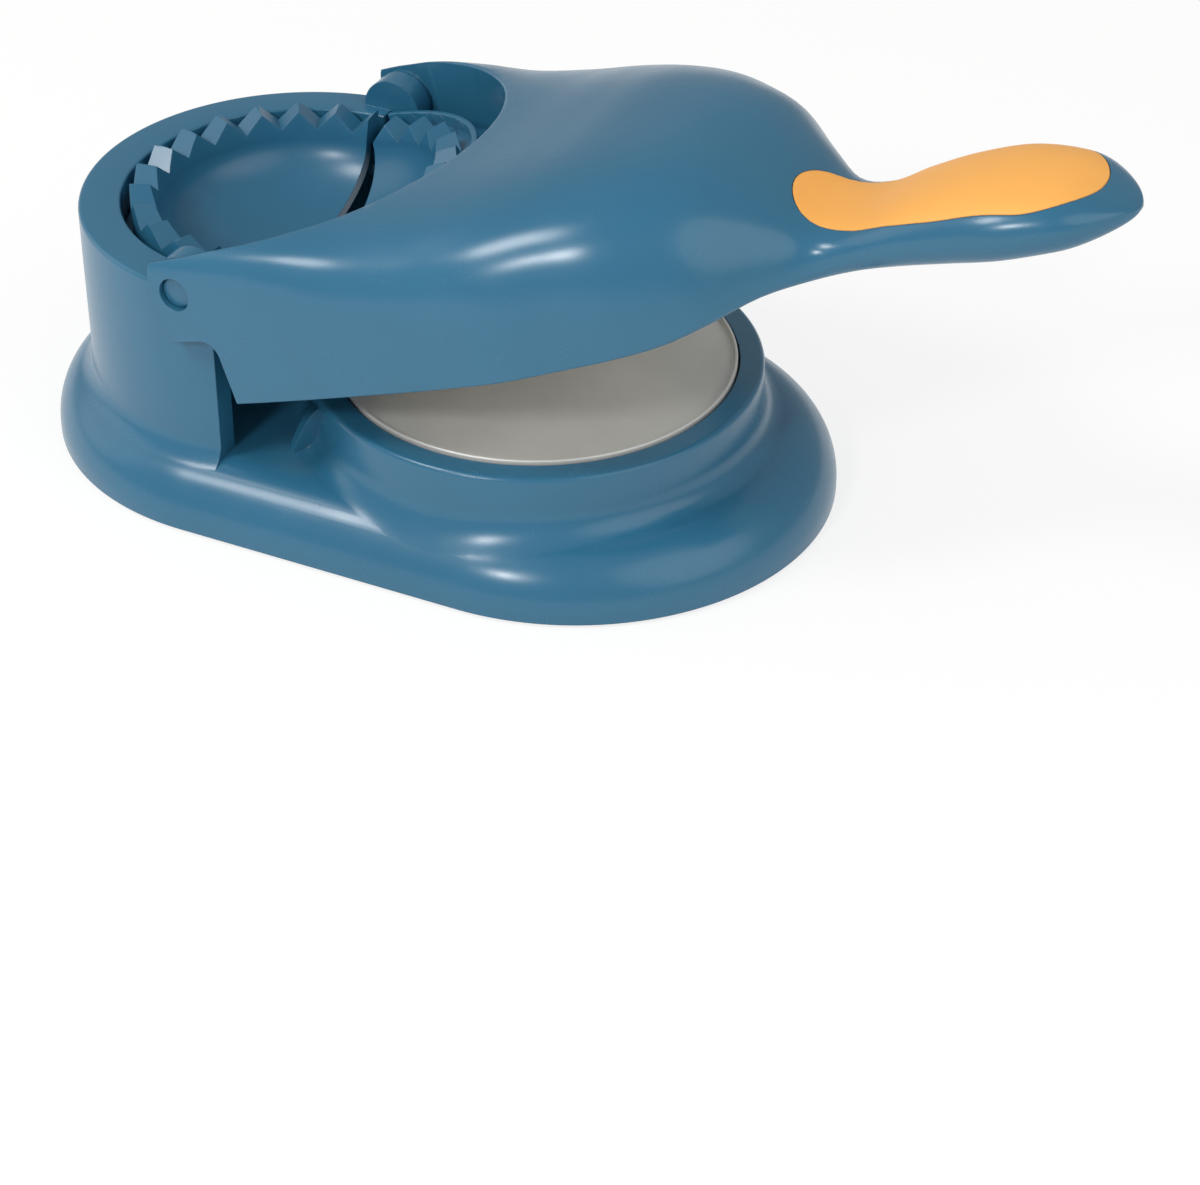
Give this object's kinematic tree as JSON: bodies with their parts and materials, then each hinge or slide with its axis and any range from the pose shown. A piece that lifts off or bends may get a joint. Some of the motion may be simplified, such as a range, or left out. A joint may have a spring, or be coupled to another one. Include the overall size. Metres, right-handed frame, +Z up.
{
  "type": "empanada press",
  "caption": "Two-in-one hand press for filled dough: a hinged lever presses dough flat on a steel plate, and turned over it folds and crimps it in a toothed round mould.",
  "frame": {"origin": "on the surface the press stands on, under the middle of its outline as seen from above", "axes": "+X from the crimping tower towards the lever's tip, +Y to the far side, +Z up; the lever at rest is raised 18.8 degrees from fully down"},
  "size_m": [0.2483, 0.1156, 0.1042],
  "materials": {
    "body_plastic": "satin injection-moulded ABS",
    "mould_plastic": "satin injection-moulded ABS",
    "cover_plastic": "fine-textured ABS",
    "pin_plastic": "moulded acetal",
    "washer_nylon": "natural nylon",
    "carrier_plastic": "plain moulded polypropylene",
    "grip_plastic": "soft-touch moulded inlay",
    "plate_steel": "brushed stainless sheet",
    "screw_steel": "zinc-plated steel",
    "foot_rubber": "moulded rubber"
  },
  "bodies": {
    "base": {"base_shell": "body_plastic", "base_cover": "cover_plastic", "base_screws": "screw_steel", "foot_rear_near": "foot_rubber", "foot_rear_far": "foot_rubber", "foot_front_near": "foot_rubber", "foot_front_far": "foot_rubber", "dough_plate": "plate_steel", "plate_carrier": "carrier_plastic", "plate_screws": "screw_steel", "rear_mould": "mould_plastic", "rear_mould_screws": "screw_steel", "pivot_pin_near": "pin_plastic", "pivot_pin_far": "pin_plastic", "pivot_washer_near": "washer_nylon", "pivot_washer_far": "washer_nylon"},
    "lever": {"lever_shell": "body_plastic", "underside_cover": "cover_plastic", "handle_cover": "cover_plastic", "cover_screws": "screw_steel", "front_mould": "mould_plastic", "front_mould_screws": "screw_steel", "press_disc": "plate_steel", "press_carrier": "carrier_plastic", "press_screws": "screw_steel", "handle_grip": "grip_plastic", "grip_screws": "screw_steel"}
  },
  "joints": [
    {"name": "lever_hinge", "type": "hinge", "parent": "base", "child": "lever", "pos_m": [-0.06724, 0, 0.0563], "axis": [0, -1, 0], "range_deg": [-18.8, 161.2]}
  ]
}
